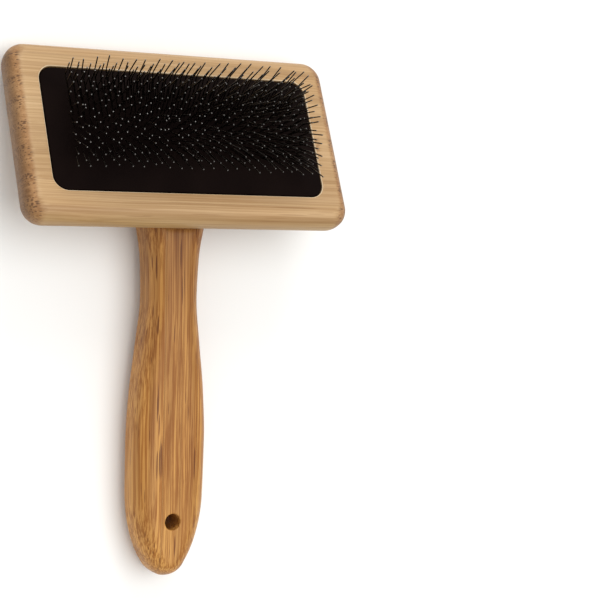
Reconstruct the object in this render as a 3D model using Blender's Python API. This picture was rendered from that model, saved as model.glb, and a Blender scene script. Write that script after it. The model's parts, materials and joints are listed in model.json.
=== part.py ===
"""Slicker brush: a bamboo head with a domed wire-pin pad, on a bamboo handle.

The brush lies on a table with its pins up, so it rests on the head's far back edge and
on the end of the handle. +Y runs from the handle's end to the head, +X across the head
and +Z up. The origin is under the middle of the brush, on the table.

Every piece is first laid out in the head's own frame: x across the head, y away from
the handle, z out of the pin side, with z = 0 on the head's flat back. One empty,
brush_frame, then tilts and lifts the whole brush onto the table.
"""

import math

import bmesh
import bpy
from mathutils import Matrix, Vector

MM = 0.001

# Head board
HEAD_WIDTH = 105.0 * MM
HEAD_DEPTH = 56.0 * MM
HEAD_THICKNESS = 13.0 * MM
HEAD_CORNER_RADIUS = 6.0 * MM
FRONT_EDGE_RADIUS = 4.3 * MM
BACK_EDGE_RADIUS = 7.8 * MM
BACK_SPLIT_X = 17.0 * MM

# Recess routed in the head for the pad
RECESS_WIDTH = 88.0 * MM
RECESS_DEPTH_Y = 39.4 * MM
RECESS_CORNER_RADIUS = 4.5 * MM
RECESS_CUT = 8.0 * MM
RIM_EDGE_BREAK = 0.5 * MM

# Handle: its flat back starts at the foot's thin tip and runs straight to the end
HANDLE_ANGLE = math.radians(23.8)
FOOT_TIP_Y = 13.7 * MM
HANDLE_LENGTH = 141.6 * MM
FOOT_THICKNESS = 16.0 * MM
END_THICKNESS = 14.2 * MM
TAPER_START = 60.0 * MM
HANDLE_EDGE_RADIUS = 6.0 * MM
HANDLE_WIDTHS_MM = ((0, 26.6), (17, 26.6), (30, 22.0), (45, 16.7), (57, 15.8), (70, 18.4), (85, 22.0),
                    (100, 23.7), (112, 23.6), (130, 22.6), (142, 22.0))
ROUND_END = 24.0 * MM
END_FULLNESS = 1.95
END_EDGE_ROUND = 4.7 * MM
HANGING_HOLE_AT = 124.4 * MM
HANGING_HOLE_DIAMETER = 5.0 * MM

# Wood screws from the recess floor into the handle's foot: place, length under the head's top
SCREW_SHANK_DIAMETER = 3.4 * MM
SCREW_HEAD_DIAMETER = 6.8 * MM
SCREW_HEAD_HEIGHT = 2.0 * MM
SCREW_POINT_LENGTH = 2.5 * MM
SCREW_SLOT_WIDTH = 0.9 * MM
SCREW_SLOT_LENGTH = 4.0 * MM
SCREW_SLOT_DEPTH = 1.0 * MM
SCREWS = {"screw_short": (-1.5 * MM, 9.5 * MM), "screw_long": (-14.5 * MM, 14.5 * MM)}

# Pad layers, from the recess floor up: foam, woven cloth that holds the wires, rubber face
GAP = 0.3 * MM
PAD_SIDE_GAP = 0.3 * MM
RUBBER_THICKNESS = 1.4 * MM
CLOTH_THICKNESS = 0.8 * MM
PAD_EDGE_BELOW_RIM = 0.2 * MM
PAD_CROWN = 4.4 * MM
CROWN_POWER_X = 3.0
CROWN_POWER_Y = 2.5

# Wire pins: each has a knee half way up and leans outward more toward the pad's edges.
# The knees all turn the same way, toward the handle and to one side.
PIN_ROWS = 43
PINS_PER_ROW = 11
PIN_FIELD_WIDTH = 72.0 * MM
PIN_FIELD_DEPTH = 20.5 * MM
PIN_FIELD_CENTRE_Y = 1.65 * MM
PIN_DIAMETER = 0.45 * MM
PIN_LOWER_LENGTH = 7.0 * MM
PIN_UPPER_LENGTH = 6.0 * MM
PIN_FAN_X = math.radians(17.0)
PIN_FAN_Y = math.radians(32.0)
PIN_LEAN_X = math.radians(-11.5)
PIN_LEAN_Y = math.radians(-7.0)
PIN_KNEE_BEND = math.radians(20.0)
PIN_KNEE_HEADING = math.radians(50.0)
PIN_FOOT_HEIGHT = 1.0 * MM
PIN_FOOT_WIDTH = 0.45 * MM
FOOT_SLOT_WIDTH = 1.1 * MM

ROUND_STEPS = 5
CIRCLE_STEPS = 20


# ---- small helpers -------------------------------------------------------------------


def srgb(red, green, blue):
    """Linear colour of an 8-bit screen colour."""
    def linear(value):
        value /= 255
        return value / 12.92 if value <= 0.04045 else ((value + 0.055) / 1.055) ** 2.4
    return (linear(red), linear(green), linear(blue), 1.0)


def make_material(name, colour, roughness, metallic=0.0):
    material = bpy.data.materials.new(name)
    material.use_nodes = True
    shader = material.node_tree.nodes["Principled BSDF"]
    shader.inputs["Base Color"].default_value = colour
    shader.inputs["Roughness"].default_value = roughness
    shader.inputs["Metallic"].default_value = metallic
    return material


def make_empty(name, location=(0, 0, 0), parent=None):
    empty = bpy.data.objects.new(name, None)
    bpy.context.scene.collection.objects.link(empty)
    empty.location = location
    empty.parent = parent
    return empty


def make_object(name, bm, parent, material=None, smooth_angle=None):
    """Turn a bmesh into an object whose faces point out."""
    bmesh.ops.recalc_face_normals(bm, faces=bm.faces)
    mesh = bpy.data.meshes.new(name)
    bm.to_mesh(mesh)
    bm.free()
    obj = bpy.data.objects.new(name, mesh)
    bpy.context.scene.collection.objects.link(obj)
    obj.parent = parent
    if material:
        mesh.materials.append(material)
    if smooth_angle:
        mesh.shade_smooth()
        mesh.set_sharp_from_angle(angle=math.radians(smooth_angle))
    return obj


def cut(target, cutter):
    """Subtract one object from another; the cutter stays as a hidden guide."""
    cutter.hide_render = True
    cutter.display_type = "WIRE"
    modifier = target.modifiers.new("cut_" + cutter.name, "BOOLEAN")
    modifier.operation = "DIFFERENCE"
    modifier.solver = "EXACT"
    modifier.object = cutter


def rounded_outline(width, depth, radius, arc_steps, long_steps=1, short_steps=1):
    """Corner points of a rounded rectangle, anticlockwise, with extra points on its sides."""
    corners = ((1, 1, 0.0), (-1, 1, 90.0), (-1, -1, 180.0), (1, -1, 270.0))
    arcs = []
    for side_x, side_y, start in corners:
        centre = Vector((side_x * (width / 2 - radius), side_y * (depth / 2 - radius)))
        arc = []
        for step in range(arc_steps + 1):
            angle = math.radians(start + 90.0 * step / arc_steps)
            arc.append(centre + radius * Vector((math.cos(angle), math.sin(angle))))
        arcs.append(arc)
    points = []
    for index, arc in enumerate(arcs):
        points += arc
        steps = long_steps if index % 2 == 0 else short_steps
        following = arcs[(index + 1) % 4][0]
        for step in range(1, steps):
            points.append(arc[-1].lerp(following, step / steps))
    return points


def loft(bm, rings, closed_ends=True):
    """Skin a list of rings, each with the same number of points, and close both ends."""
    layers = [[bm.verts.new(point) for point in ring] for ring in rings]
    count = len(layers[0])
    for lower, upper in zip(layers, layers[1:]):
        for index in range(count):
            after = (index + 1) % count
            bm.faces.new((lower[index], lower[after], upper[after], upper[index]))
    if closed_ends:
        bm.faces.new(reversed(layers[0]))
        bm.faces.new(layers[-1])
    return layers


def cap_across(bm, layer, start):
    """Close a ring with strips between its two mirrored halves, counted from a point on its axis."""
    count = len(layer)
    for step in range(count // 2):
        face = [layer[(start + step) % count], layer[(start + step + 1) % count]]
        for vertex in (layer[start - step - 1], layer[start - step]):
            if vertex not in face:
                face.append(vertex)
        bm.faces.new(face)


def interpolate(table, at):
    """Smooth curve through a short table of (position, value), flat at the table's ends."""
    last = len(table) - 1
    index = 0
    while index < last - 1 and at > table[index + 1][0]:
        index += 1
    (x0, y0), (x1, y1) = table[index], table[index + 1]

    def slope(knot):
        if knot in (0, last):
            return 0.0
        rise_before = (table[knot][1] - table[knot - 1][1]) / (table[knot][0] - table[knot - 1][0])
        rise_after = (table[knot + 1][1] - table[knot][1]) / (table[knot + 1][0] - table[knot][0])
        if rise_before * rise_after <= 0:
            return 0.0
        return 2 * rise_before * rise_after / (rise_before + rise_after)

    span = x1 - x0
    t = min(max((at - x0) / span, 0.0), 1.0)
    value = y0 * (1 + 2 * t) * (1 - t) ** 2 + y1 * t * t * (3 - 2 * t)
    return value + span * t * (1 - t) * ((1 - t) * slope(index) - t * slope(index + 1))


# ---- head ----------------------------------------------------------------------------


def head_rings():
    """Outlines of the board from its back to its front, with both edges rounded over."""
    rings = []
    stations = []
    for step in range(ROUND_STEPS + 1):
        angle = math.radians(90.0 * step / ROUND_STEPS)
        stations.append((BACK_EDGE_RADIUS * (1 - math.cos(angle)), BACK_EDGE_RADIUS * (1 - math.sin(angle))))
    for step in range(ROUND_STEPS + 1):
        angle = math.radians(90.0 * step / ROUND_STEPS)
        height = HEAD_THICKNESS - FRONT_EDGE_RADIUS * (1 - math.sin(angle))
        stations.append((height, FRONT_EDGE_RADIUS * (1 - math.cos(angle))))
    for height, inset in stations:
        radius = max(HEAD_CORNER_RADIUS - 0.6 * inset, 1.5 * MM)
        outline = rounded_outline(HEAD_WIDTH - 2 * inset, HEAD_DEPTH - 2 * inset, radius, ROUND_STEPS)
        rings.append([(point.x, point.y, height) for point in outline])
    return rings


def recess_cutter(parent):
    """Prism of the recess, flared at the rim so that the rim's inner edge is broken."""
    floor = HEAD_THICKNESS - RECESS_CUT
    stations = ((floor, 0.0), (HEAD_THICKNESS - RIM_EDGE_BREAK, 0.0),
                (HEAD_THICKNESS - 0.3 * RIM_EDGE_BREAK, 0.3 * RIM_EDGE_BREAK),
                (HEAD_THICKNESS + 0.4 * RIM_EDGE_BREAK, RIM_EDGE_BREAK), (2 * HEAD_THICKNESS, RIM_EDGE_BREAK))
    bm = bmesh.new()
    rings = []
    for height, flare in stations:
        outline = rounded_outline(RECESS_WIDTH + 2 * flare, RECESS_DEPTH_Y + 2 * flare,
                                  RECESS_CORNER_RADIUS + flare, ROUND_STEPS)
        rings.append([(point.x, point.y, height) for point in outline])
    loft(bm, rings)
    return make_object("cut_recess", bm, parent)


def make_head(parent, material):
    """The board, with its back face split clear of the handle's foot."""
    bm = bmesh.new()
    loft(bm, head_rings())
    for side in (-1, 1):
        bmesh.ops.bisect_plane(bm, geom=bm.verts[:] + bm.edges[:] + bm.faces[:],
                               plane_co=(side * BACK_SPLIT_X, 0, 0), plane_no=(1, 0, 0))
    head = make_object("head_block", bm, parent, material, smooth_angle=35)
    cut(head, recess_cutter(parent))
    return head


# ---- handle --------------------------------------------------------------------------


def handle_width(along):
    """Full width of the handle at a distance from the foot's tip."""
    width = interpolate(HANDLE_WIDTHS_MM, along / MM) * MM
    end_start = HANDLE_LENGTH - ROUND_END
    if along > end_start:
        reach = (along - end_start) / ROUND_END
        width *= max(1 - reach ** END_FULLNESS, 0.0) ** (1 / END_FULLNESS)
    return width


def handle_thickness(along):
    """Full thickness, tapering toward the end, before the end's own rounding."""
    taper = max(along - TAPER_START, 0.0) / (HANDLE_LENGTH - TAPER_START)
    return FOOT_THICKNESS + (END_THICKNESS - FOOT_THICKNESS) * taper


def handle_ring(along):
    """Cross-section: a rounded bar, flat in front and behind."""
    width = handle_width(along)
    full = handle_thickness(along)
    past_end = max(along - (HANDLE_LENGTH - END_EDGE_ROUND), 0.0) / END_EDGE_ROUND
    thickness = full * math.sqrt(max(1 - past_end ** 2, 0.0))
    radius = min(HANDLE_EDGE_RADIUS, 0.47 * width, 0.47 * thickness)
    outline = rounded_outline(width, thickness, radius, ROUND_STEPS)
    return [(point.x, -along, full / 2 + point.y) for point in outline]


def handle_stations():
    """Distances from the foot's tip: even along the grip, close together round the end."""
    straight = HANDLE_LENGTH - ROUND_END
    even_steps = 17
    stations = [straight * step / even_steps for step in range(even_steps)]
    end_steps = 9
    for step in range(end_steps):
        angle = math.radians(86.0 * step / (end_steps - 1))
        stations.append(straight + ROUND_END * math.sin(angle))
    return stations


def make_handle(parent, material):
    bm = bmesh.new()
    loft(bm, [handle_ring(along) for along in handle_stations()])
    handle = make_object("handle", bm, parent, material, smooth_angle=35)
    handle.location = (0, FOOT_TIP_Y, 0)
    handle.rotation_euler = (HANDLE_ANGLE, 0, 0)

    bm = bmesh.new()
    bmesh.ops.create_cube(bm, size=1.0)
    bmesh.ops.scale(bm, vec=(HEAD_WIDTH, 2 * HEAD_DEPTH, HEAD_THICKNESS * 2), verts=bm.verts)
    foot_plane = make_object("cut_foot", bm, parent)
    foot_plane.location = (0, 0, HEAD_THICKNESS - GAP)
    cut(handle, foot_plane)

    bm = bmesh.new()
    bmesh.ops.create_cone(bm, cap_ends=True, segments=CIRCLE_STEPS, radius1=HANGING_HOLE_DIAMETER / 2,
                          radius2=HANGING_HOLE_DIAMETER / 2, depth=3 * FOOT_THICKNESS)
    hole = make_object("cut_hanging_hole", bm, handle)
    hole.location = (0, -HANGING_HOLE_AT, 0)
    cut(handle, hole)
    return handle


# ---- screws --------------------------------------------------------------------------


def turned_solid(bm, profile):
    """Solid of revolution about z from (radius, height) pairs, lowest first."""
    rings = []
    for radius, height in profile:
        ring = []
        for step in range(CIRCLE_STEPS):
            angle = 2 * math.pi * step / CIRCLE_STEPS
            ring.append((radius * math.cos(angle), radius * math.sin(angle), height))
        rings.append(ring)
    loft(bm, rings)


def screw_profile(length, clearance):
    """Countersunk screw hanging down from z = 0, grown by a clearance for its hole."""
    shank = SCREW_SHANK_DIAMETER / 2 + clearance
    head = SCREW_HEAD_DIAMETER / 2 + clearance
    tip = 0.25 * SCREW_SHANK_DIAMETER / 2 + clearance
    top = clearance * 3
    return ((tip, -length - clearance), (shank, -length + SCREW_POINT_LENGTH),
            (shank, -SCREW_HEAD_HEIGHT - clearance), (head, -clearance), (head, top))


def make_screw(name, place_y, length, parent, material, head, handle):
    """A wood screw with a cross slot, and its holes through the head and into the foot."""
    floor = HEAD_THICKNESS - RECESS_CUT
    seat = (0, place_y, floor - 0.2 * MM)

    bm = bmesh.new()
    turned_solid(bm, screw_profile(length, 0.0)[:4])
    screw = make_object(name, bm, parent, material, smooth_angle=35)
    screw.location = seat

    for turn in (0, 90):
        bm = bmesh.new()
        bmesh.ops.create_cube(bm, size=1.0)
        bmesh.ops.scale(bm, vec=(SCREW_SLOT_LENGTH, SCREW_SLOT_WIDTH, 2 * SCREW_SLOT_DEPTH), verts=bm.verts)
        slot = make_object(f"cut_{name}_slot_{turn}", bm, screw)
        slot.rotation_euler = (0, 0, math.radians(turn))
        cut(screw, slot)

    bm = bmesh.new()
    turned_solid(bm, screw_profile(length, GAP))
    hole = make_object(f"cut_{name}_hole", bm, parent)
    hole.location = seat
    cut(head, hole)
    cut(handle, hole)
    return screw


# ---- pad -----------------------------------------------------------------------------


def crown(x, y):
    """Height of the rubber's outer face over the head's front plane."""
    across = min(abs(x) / (RECESS_WIDTH / 2), 1.0)
    along = min(abs(y) / (RECESS_DEPTH_Y / 2), 1.0)
    rise = (1 - across ** CROWN_POWER_X) * (1 - along ** CROWN_POWER_Y)
    return PAD_CROWN * rise - PAD_EDGE_BELOW_RIM


def domed_layer(name, top_offset, bottom_offset, parent, material, flat_bottom=None):
    """A layer that fills the recess in plan and follows the crown on one or both faces."""
    width = RECESS_WIDTH - 2 * PAD_SIDE_GAP
    depth = RECESS_DEPTH_Y - 2 * PAD_SIDE_GAP
    radius = RECESS_CORNER_RADIUS - PAD_SIDE_GAP
    insets = (0.0, 0.08, 0.22, 0.45, 0.75)
    long_steps = 8
    short_steps = 4
    outlines = []
    for share in insets:
        inset = share * depth / 2
        corner = max(radius - inset, 0.8 * MM)
        outlines.append(rounded_outline(width - 2 * inset, depth - 2 * inset, corner, 3,
                                         long_steps, short_steps))

    def height(point, offset):
        if flat_bottom is not None and offset == bottom_offset:
            return flat_bottom
        return crown(point.x, point.y) + offset

    bm = bmesh.new()
    rings = []
    for outline in reversed(outlines):
        rings.append([(point.x, point.y, height(point, bottom_offset)) for point in outline])
    for outline in outlines:
        rings.append([(point.x, point.y, height(point, top_offset)) for point in outline])
    layers = loft(bm, rings, closed_ends=False)
    side_middle = len(layers[0]) - short_steps // 2
    cap_across(bm, layers[0], side_middle)
    cap_across(bm, layers[-1], side_middle)
    return make_object(name, bm, parent, material, smooth_angle=50)


def make_pad(frame, slide, materials):
    rubber_base = -RUBBER_THICKNESS
    cloth_top = rubber_base - GAP
    cloth_base = cloth_top - CLOTH_THICKNESS
    foam_top = cloth_base - GAP
    floor = -RECESS_CUT + GAP
    foam = domed_layer("foam_cushion", foam_top, floor, frame, materials["foam"], flat_bottom=floor)
    foam.location = (0, 0, HEAD_THICKNESS)
    domed_layer("pin_cloth", cloth_top, cloth_base, slide, materials["cloth"])
    return domed_layer("rubber_face", 0.0, rubber_base, slide, materials["rubber"])


# ---- pins ----------------------------------------------------------------------------


def pin_roots():
    """Rows of root points: rows run away from the handle and are staggered by half a step."""
    step_x = PIN_FIELD_WIDTH / (PIN_ROWS - 1)
    step_y = PIN_FIELD_DEPTH / (PINS_PER_ROW - 0.5)
    rows = []
    for row in range(PIN_ROWS):
        x = -PIN_FIELD_WIDTH / 2 + step_x * row
        first = PIN_FIELD_CENTRE_Y - PIN_FIELD_DEPTH / 2 + 0.5 * step_y * (row % 2)
        rows.append([Vector((x, first + step_y * index, 0)) for index in range(PINS_PER_ROW)])
    return rows


def pin_path(root):
    """Root, knee and tip of one pin, over the pad's slide origin."""
    share_x = root.x / (PIN_FIELD_WIDTH / 2)
    share_y = (root.y - PIN_FIELD_CENTRE_Y) / (PIN_FIELD_DEPTH / 2)
    start = Vector((root.x, root.y, crown(root.x, root.y)))
    lean_x = PIN_FAN_X * share_x + PIN_LEAN_X
    lean_y = PIN_FAN_Y * share_y + PIN_LEAN_Y
    lower = Vector((math.tan(lean_x), math.tan(lean_y), 1)).normalized()
    upper = lower.copy()
    knee_axis = Vector((math.cos(PIN_KNEE_HEADING), math.sin(PIN_KNEE_HEADING), 0))
    upper.rotate(Matrix.Rotation(PIN_KNEE_BEND, 3, knee_axis))
    knee = start + lower * PIN_LOWER_LENGTH
    return start, knee, knee + upper * PIN_UPPER_LENGTH


def make_pin_row(name, roots, slide, material):
    """One row of square wires standing on a common foot wire, as a single closed solid."""
    half = PIN_DIAMETER / 2
    bm = bmesh.new()
    sections = []
    for root in roots:
        for side in (-1, 1):
            y = root.y + side * half
            top = crown(root.x, y)
            sections.append((bm.verts.new((root.x - PIN_FOOT_WIDTH / 2, y, top)),
                             bm.verts.new((root.x + PIN_FOOT_WIDTH / 2, y, top)),
                             bm.verts.new((root.x, y, top - PIN_FOOT_HEIGHT))))
    for index, (near, far) in enumerate(zip(sections, sections[1:])):
        bm.faces.new((near[1], near[2], far[2], far[1]))
        bm.faces.new((near[2], near[0], far[0], far[2]))
        if index % 2 == 1:
            bm.faces.new((near[0], near[1], far[1], far[0]))
    bm.faces.new(sections[0])
    bm.faces.new(sections[-1])
    for index, root in enumerate(roots):
        near = sections[2 * index]
        far = sections[2 * index + 1]
        below = (near[0], near[1], far[1], far[0])
        _, knee, tip = pin_path(root)
        for centre in (knee, tip):
            corners = ((-half, -half), (half, -half), (half, half), (-half, half))
            level = [bm.verts.new(centre + Vector((dx, dy, 0))) for dx, dy in corners]
            for corner in range(4):
                after = (corner + 1) % 4
                bm.faces.new((below[corner], below[after], level[after], level[corner]))
            below = level
        bm.faces.new(below)
    return make_object(name, bm, slide, material)


def cut_foot_slots(rubber, rows, slide):
    """One slot through the rubber for each row's foot wire, all in one cutter."""
    bm = bmesh.new()
    for roots in rows:
        length = roots[-1].y - roots[0].y + PIN_DIAMETER + 2 * GAP
        middle = (roots[-1].y + roots[0].y) / 2
        block = bmesh.ops.create_cube(bm, size=1.0)["verts"]
        bmesh.ops.scale(bm, vec=(FOOT_SLOT_WIDTH, length, 6 * PAD_CROWN), verts=block)
        bmesh.ops.translate(bm, vec=(roots[0].x, middle, 0), verts=block)
    cut(rubber, make_object("cut_foot_slots", bm, slide))


# ---- whole brush ---------------------------------------------------------------------


def evaluated_points(objects):
    """World positions of every vertex of the finished pieces."""
    bpy.context.view_layer.update()
    depsgraph = bpy.context.evaluated_depsgraph_get()
    points = []
    for obj in objects:
        finished = obj.evaluated_get(depsgraph)
        mesh = finished.to_mesh()
        points += [finished.matrix_world @ vertex.co for vertex in mesh.vertices]
        finished.to_mesh_clear()
    return points


def resting_tilt(head_points, handle_points):
    """Tilt about x at which the head and the handle's end touch the table together."""
    low, high = 0.0, math.radians(45)
    for _ in range(50):
        tilt = (low + high) / 2
        turn = Matrix.Rotation(-tilt, 3, "X")
        head_bottom = min((turn @ point).z for point in head_points)
        handle_bottom = min((turn @ point).z for point in handle_points)
        if handle_bottom < head_bottom:
            low = tilt
        else:
            high = tilt
    return tilt


def stand_on_table(frame, solids):
    """Tilt and lift the brush so that its box stands on z = 0, centred over the origin."""
    head = evaluated_points([solids["head_block"]])
    handle = evaluated_points([solids["handle"]])
    frame.rotation_euler = (-resting_tilt(head, handle), 0, 0)
    points = evaluated_points(solids.values())
    middle_y = (min(p.y for p in points) + max(p.y for p in points)) / 2
    frame.location = (0, -middle_y, -min(p.z for p in points))
    bpy.context.view_layer.update()


def main():
    for obj in list(bpy.data.objects):
        bpy.data.objects.remove(obj, do_unlink=True)

    materials = {
        "head": make_material("bamboo_head", srgb(200, 160, 110), 0.45),
        "handle": make_material("bamboo_handle", srgb(186, 132, 78), 0.42),
        "screw": make_material("zinc_steel", srgb(170, 170, 165), 0.35, 1.0),
        "foam": make_material("foam", srgb(90, 88, 84), 0.95),
        "cloth": make_material("woven_cloth", srgb(58, 52, 48), 0.9),
        "rubber": make_material("black_rubber", srgb(22, 17, 17), 0.7),
        "pin": make_material("steel_wire", srgb(96, 92, 90), 0.3, 1.0),
    }
    frame = make_empty("brush_frame")
    slide = make_empty("pad_slide", (0, 0, HEAD_THICKNESS), frame)

    head = make_head(frame, materials["head"])
    handle = make_handle(frame, materials["handle"])
    for name, (place_y, length) in SCREWS.items():
        make_screw(name, place_y, length, frame, materials["screw"], head, handle)
    rubber = make_pad(frame, slide, materials)
    rows = pin_roots()
    for number, roots in enumerate(rows, start=1):
        make_pin_row(f"pin_row_{number:02d}", roots, slide, materials["pin"])
    cut_foot_slots(rubber, rows, slide)

    solids = {}
    for obj in bpy.data.objects:
        if obj.type == "MESH" and not obj.hide_render:
            solids[obj.name] = obj
    stand_on_table(frame, solids)


main()
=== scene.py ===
import json
import math
import random

import bmesh
import bpy
from mathutils import Matrix, Vector


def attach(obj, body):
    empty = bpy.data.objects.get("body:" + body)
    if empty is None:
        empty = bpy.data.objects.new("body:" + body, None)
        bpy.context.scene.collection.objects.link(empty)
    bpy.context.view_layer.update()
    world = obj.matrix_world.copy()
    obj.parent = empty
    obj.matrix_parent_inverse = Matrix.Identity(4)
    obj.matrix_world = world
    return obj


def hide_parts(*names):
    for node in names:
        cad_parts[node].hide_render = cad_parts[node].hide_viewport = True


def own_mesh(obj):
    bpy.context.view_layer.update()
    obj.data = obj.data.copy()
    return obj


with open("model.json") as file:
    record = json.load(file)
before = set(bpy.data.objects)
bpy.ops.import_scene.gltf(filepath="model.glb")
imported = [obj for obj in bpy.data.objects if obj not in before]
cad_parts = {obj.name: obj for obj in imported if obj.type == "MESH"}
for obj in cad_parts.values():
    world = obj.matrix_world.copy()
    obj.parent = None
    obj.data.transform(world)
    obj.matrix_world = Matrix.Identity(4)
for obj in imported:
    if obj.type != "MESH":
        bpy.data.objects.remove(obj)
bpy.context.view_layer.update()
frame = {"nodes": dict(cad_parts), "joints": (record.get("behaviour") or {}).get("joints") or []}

# Looks of the slicker brush. Sizes are in millimetres in the constants and in metres in the meshes.
# Everything is laid out in the head's own frame: x across the head, y away from the handle,
# z out of the pin side, z = 0 on the head's flat back.

MM = 0.001

# Head board and recess
HEAD_WIDTH = 105.0
HEAD_DEPTH = 56.0
HEAD_THICKNESS = 13.0
HEAD_CORNER_RADIUS = 6.0
FRONT_EDGE_RADIUS = 4.3
BACK_EDGE_RADIUS = 7.8
RECESS_WIDTH = 88.0
RECESS_DEPTH_Y = 39.4
RECESS_CORNER_RADIUS = 4.5
RECESS_CUT = 8.0
RIM_EDGE_BREAK = 0.38
FLOOR_FILLET = 0.8
CORNER_SHRINK = 0.6
SMALLEST_HEAD_CORNER = 1.2

# Flat borders beside the head's rounded edges, which keep the shading of the round off the flat face
BACK_BORDER = 0.6
FRONT_BORDER = 0.5
RIM_BORDER = 0.4
FLOOR_BORDER = 0.6

# Handle, in its own frame: it runs along -y from the foot's tip, flat back on z = 0
HANDLE_ANGLE = math.radians(23.8)
FOOT_TIP_Y = 13.7
HANDLE_LENGTH = 141.6
FOOT_THICKNESS = 16.0
END_THICKNESS = 14.2
TAPER_START = 60.0
HANDLE_EDGE_RADIUS = 6.0
# (distance from the foot's tip, width)
HANDLE_WIDTHS = ((0, 26.6), (17, 26.6), (30, 22.0), (45, 16.7), (57, 15.8), (70, 18.4), (85, 22.0),
                 (100, 23.7), (112, 23.6), (130, 22.6), (142, 22.0))
ROUND_END = 24.0
END_FULLNESS = 1.95
END_EDGE_ROUND = 4.7
HANGING_HOLE_AT = 124.4
HANGING_HOLE_RADIUS = 2.5
HOLE_EDGE_BREAK = 0.35
GLUE_LINE = 0.05
LARGEST_ROUND_SHARE = 0.47
STRAIGHT_STATIONS = 78
END_STATIONS = 30
END_SWEEP = 88.5
CUTTER_OVERRUN = 6.0

# Screws under the pad. Each has a place along y and a length.
SCREWS = {"screw_short": (-1.5, 9.5), "screw_long": (-14.5, 14.5)}
SCREW_SHANK_RADIUS = 1.7
SCREW_CORE_RADIUS = 1.2
SCREW_HEAD_RADIUS = 3.4
SCREW_HEAD_HEIGHT = 2.0
SCREW_POINT_LENGTH = 2.5
SCREW_SEAT_DEPTH = 0.2
THREAD_PITCH = 1.3
SCREW_CLEARANCE = 0.3
SCREW_SIDES = 28
STEPS_PER_THREAD = 10
THREAD_HALF_WIDTH = 0.22
THREAD_FREE_NECK = 0.8
THREAD_RUN_OUT = 1.0
NECK_SWELL = 0.25
POINT_SHARE = 0.22

# Pad layers
GAP = 0.3
PAD_SIDE_GAP = 0.3
RUBBER_THICKNESS = 1.4
CLOTH_THICKNESS = 0.8
PAD_EDGE_BELOW_RIM = 0.2
PAD_CROWN = 4.4
CROWN_POWER_X = 3.0
CROWN_POWER_Y = 2.5
RUBBER_EDGE_ROUND = 0.45
CLOTH_EDGE_ROUND = 0.25
FOAM_EDGE_ROUND = 0.5
SMALLEST_PAD_CORNER = 0.25
PAD_CORNER_STEPS = 8
PAD_LONG_STEPS = 44
PAD_SHORT_STEPS = 18

# Wire pins. The fan is how far the lower halves lean at the field's edges, in degrees like the other angles.
PIN_ROWS = 43
PINS_PER_ROW = 11
PIN_FIELD_WIDTH = 72.0
PIN_FIELD_DEPTH = 20.5
PIN_FIELD_CENTRE_Y = 1.65
PIN_RADIUS = 0.19
PIN_LOWER_LENGTH = 7.0
PIN_UPPER_LENGTH = 6.0
PIN_FAN_X = 17.0
PIN_FAN_Y = 32.0
PIN_LEAN_X = -11.5
PIN_LEAN_Y = -7.0
PIN_KNEE_BEND = 20.0
PIN_KNEE_HEADING = 50.0
PIN_ROOT_DEPTH = 0.7
PIN_SIDES = 8
TIP_BRIGHT_LENGTH = 0.22
COLLAR_RADIUS = 0.5
COLLAR_HEIGHT = 0.14
COLLAR_SIDES = 10
KNEE_STEPS = 5
KNEE_LENGTH = 1.6
TIP_ROUND = 0.06
TIP_ROUND_SHARE = 0.62
PIN_SEED = 11

# How far single wires stray from the regular bend, as standard deviations
STRAY_LEAN_X = 2.0
STRAY_LEAN_Y = 1.8
STRAY_BEND = 2.6
STRAY_HEADING = 7.0
STRAY_LOWER_LENGTH = 0.12
STRAY_UPPER_LENGTH = 0.14
UPPER_LENGTH_SHORTFALL = 0.05
UPPER_LENGTH_MOST = 0.1

# Bamboo: where the glued strips meet and how their edges waver. The hair keeps a strip's ramp stops off its
# edges, and the jump is how far the pattern can shift along the fibres from strip to strip.
HEAD_STRIP_EDGES = (-32.0, -22.5, -15.0, -6.0, 1.0, 9.0, 15.6, 23.3, 32.0)
HANDLE_STRIP_EDGES = (-17.0, -4.6, 1.2, 6.4, 17.0)
STRIP_HAIR = 0.0002
STRIP_JUMP = 37.0
SEAM_WAVER = 0.7
SEAM_SHARE = 0.04
GLUE_COLOUR = (0.05, 0.025, 0.01, 1)
NODE_REACH = 75.0

# Tints over the bamboo's own colours, and painted shade: the head's side that faces the handle is darkened,
# and the handle darkens toward the head, where the head shades it.
STRIP_TINTS = ((0.0, (0.90, 0.86, 0.80, 1)), (0.5, (1.0, 0.985, 0.96, 1)), (1.0, (1.0, 1.0, 1.0, 1)))
CLOUD_TINTS = ((0.3, (0.95, 0.90, 0.84, 1)), (0.7, (1.0, 1.0, 1.0, 1)))
# painted shade on the head's long side that faces the handle
HEAD_SIDE_PAINTED_SHADE = (0.84, 0.82, 0.70, 1)
# painted shade: the handle's colour darkens toward the head, where the head shades its neck
HANDLE_SHADE_END = 35.0
HANDLE_SHADE_TINTS = ((0.0, (1.0, 1.0, 1.0, 1)), (0.25, (0.95, 0.92, 0.86, 1)),
                     (0.6, (0.86, 0.81, 0.75, 1)), (1.0, (0.72, 0.66, 0.59, 1)))

# Pin cloth
THREADS_PER_MM = 1.9

# Second materials of the head and of the wires
# the head's second material is a much lighter bamboo on the rim's edge break: a painted highlight
RIM_HIGHLIGHT = 1
BRIGHT_TIP = 1

# Angles in degrees over which an edge is shaded sharp
WOOD_SHARP_ANGLE = 35
PAD_SHARP_ANGLE = 60
PIN_SHARP_ANGLE = 40


# ---- frame ---------------------------------------------------------------------------


def head_place():
    """Matrix of the head's own frame, found from the joint's axis and the head's solid."""
    normal = -Vector(frame["joints"][0]["axis"]).normalized()
    turn = Matrix.Rotation(-math.atan2(normal.y, normal.z), 3, "X")
    back = turn.inverted()
    points = [back @ vertex.co for vertex in frame["nodes"]["head_block"].data.vertices]
    middle_y = (min(p.y for p in points) + max(p.y for p in points)) / 2
    origin = turn @ Vector((0, middle_y, min(p.z for p in points)))
    return Matrix.Translation(origin) @ turn.to_4x4()


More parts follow.
